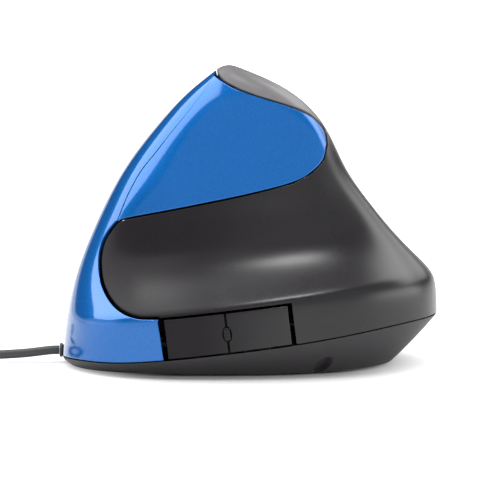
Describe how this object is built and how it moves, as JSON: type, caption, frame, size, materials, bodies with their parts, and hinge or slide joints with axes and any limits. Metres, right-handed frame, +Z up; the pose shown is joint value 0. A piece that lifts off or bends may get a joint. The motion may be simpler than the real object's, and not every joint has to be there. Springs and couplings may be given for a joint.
{
  "type": "vertical ergonomic mouse",
  "caption": "Wired right-hand vertical mouse: a pyramid body with a thumb scoop and thumb buttons, finger keys and a scroll wheel on the far side, and a cord with a plug.",
  "frame": {"origin": "on the desk, under the middle of the body's length and width", "axes": "+X from the nose to the palm end, -Y towards the thumb side, +Z up"},
  "size_m": [0.1747, 0.1198, 0.084],
  "materials": {
    "blue_gloss": "pearl blue under a clear coat",
    "black_satin": "fine-grained satin black",
    "base_black": "satin black moulding",
    "glide_grey": "slick low-friction pad",
    "frame_grey": "unpolished inner moulding",
    "switch_black": "moulded switch case",
    "plunger_red": "moulded plunger",
    "plunger_white": "moulded plunger",
    "steel": "drawn steel",
    "wheel_rubber": "soft ribbed rubber",
    "wheel_core": "moulded wheel core",
    "board_green": "solder-masked laminate",
    "chip_black": "moulded chip package",
    "clear_lens": "clear moulded lens",
    "lamp_red": "tinted lamp body",
    "emitter_clear": "clear lamp body",
    "capacitor_blue": "shrink sleeve",
    "connector_cream": "nylon connector",
    "harness_grey": "insulated wires",
    "cord_black": "smooth cord jacket",
    "plug_steel": "plated plug shell",
    "plug_white": "plug insulator"
  },
  "bodies": {
    "housing": {"base_tray": "base_black", "glide_feet": "glide_grey", "base_screws": "steel", "rear_shell": "black_satin", "thumb_panel": "blue_gloss", "front_cover": "blue_gloss", "finger_rest": "black_satin", "key_hinge_pin": "steel", "key_frame": "frame_grey", "key_board": "board_green", "left_switch_case": "switch_black", "right_switch_case": "switch_black", "cradle_pin": "steel", "click_switch_case": "switch_black", "wheel_light_emitter": "emitter_clear", "wheel_light_detector": "chip_black", "side_button_bracket": "black_satin", "side_board": "board_green", "side_switch_cases": "switch_black", "side_board_screws": "steel", "main_board": "board_green", "board_screws": "steel", "key_board_screws": "steel", "sensor_chip": "chip_black", "sensor_lens": "clear_lens", "sensor_lamp": "lamp_red", "lamp_clip": "switch_black", "controller_chip": "chip_black", "capacitor": "capacitor_blue", "cable_header": "connector_cream", "cable_connector": "connector_cream", "inner_lead": "cord_black", "key_harness": "harness_grey", "side_harness": "harness_grey", "cable_grommet": "cord_black", "usb_cord": "cord_black", "cord_coil": "cord_black", "cord_tie": "cord_black", "cord_tail": "cord_black", "plug_boot": "cord_black", "plug_shell": "plug_steel", "plug_tongue": "plug_white"},
    "left_key": {"left_key": "blue_gloss"},
    "right_key": {"right_key": "blue_gloss"},
    "left_plunger": {"left_switch_plunger": "plunger_red"},
    "right_plunger": {"right_switch_plunger": "plunger_red"},
    "cradle": {"wheel_cradle": "frame_grey"},
    "wheel": {"scroll_wheel": "wheel_core", "wheel_tyre": "wheel_rubber", "wheel_axle": "steel"},
    "click_plunger": {"click_switch_plunger": "plunger_white"},
    "forward_button": {"forward_button": "black_satin"},
    "back_button": {"back_button": "black_satin"},
    "forward_plunger": {"forward_switch_plunger": "plunger_white"},
    "back_plunger": {"back_switch_plunger": "plunger_white"}
  },
  "joints": [
    {"name": "left_key_press", "type": "hinge", "parent": "housing", "child": "left_key", "pos_m": [0.012, 0.01806, 0.04396], "axis": [0, -0.4226, 0.9063], "range_deg": [0, 1.1], "stiffness_Nm_per_rad": 0.5, "springref_deg": -1.15},
    {"name": "right_key_press", "type": "hinge", "parent": "housing", "child": "right_key", "pos_m": [0.012, 0.01806, 0.04396], "axis": [0, -0.4226, 0.9063], "range_deg": [0, 1.1], "stiffness_Nm_per_rad": 0.5, "springref_deg": -1.15},
    {"name": "left_switch_travel", "type": "slide", "parent": "housing", "child": "left_plunger", "axis": [0, -0.9063, -0.4226], "range_m": [0, 0.0005]},
    {"name": "right_switch_travel", "type": "slide", "parent": "housing", "child": "right_plunger", "axis": [0, -0.9063, -0.4226], "range_m": [0, 0.0005]},
    {"name": "wheel_click", "type": "hinge", "parent": "housing", "child": "cradle", "pos_m": [-0.00075, 0.01715, 0.04354], "axis": [0, -0.4226, 0.9063], "range_deg": [0, 1.2], "stiffness_Nm_per_rad": 1, "springref_deg": -1.15},
    {"name": "wheel_spin", "type": "hinge", "parent": "cradle", "child": "wheel", "pos_m": [-0.01575, 0.01942, 0.0446], "axis": [0, -0.4226, 0.9063], "continuous": true},
    {"name": "click_switch_travel", "type": "slide", "parent": "housing", "child": "click_plunger", "axis": [0, -0.9063, -0.4226], "range_m": [0, 0.00065]},
    {"name": "forward_press", "type": "slide", "parent": "housing", "child": "forward_button", "axis": [0, 1, 0], "range_m": [0, 0.0006], "stiffness_N_per_m": 1500, "springref_m": -0.0004},
    {"name": "back_press", "type": "slide", "parent": "housing", "child": "back_button", "axis": [0, 1, 0], "range_m": [0, 0.0006], "stiffness_N_per_m": 1500, "springref_m": -0.0004},
    {"name": "forward_switch_travel", "type": "slide", "parent": "housing", "child": "forward_plunger", "axis": [0, 1, 0], "range_m": [0, 0.00065]},
    {"name": "back_switch_travel", "type": "slide", "parent": "housing", "child": "back_plunger", "axis": [0, 1, 0], "range_m": [0, 0.00065]}
  ],
  "couplings": [
    {"joint": "left_switch_travel", "follows": "left_key_press", "m_per_rad": 0.02375},
    {"joint": "right_switch_travel", "follows": "right_key_press", "m_per_rad": 0.02375},
    {"joint": "click_switch_travel", "follows": "wheel_click", "m_per_rad": 0.029},
    {"joint": "forward_switch_travel", "follows": "forward_press", "ratio": 1},
    {"joint": "back_switch_travel", "follows": "back_press", "ratio": 1}
  ]
}
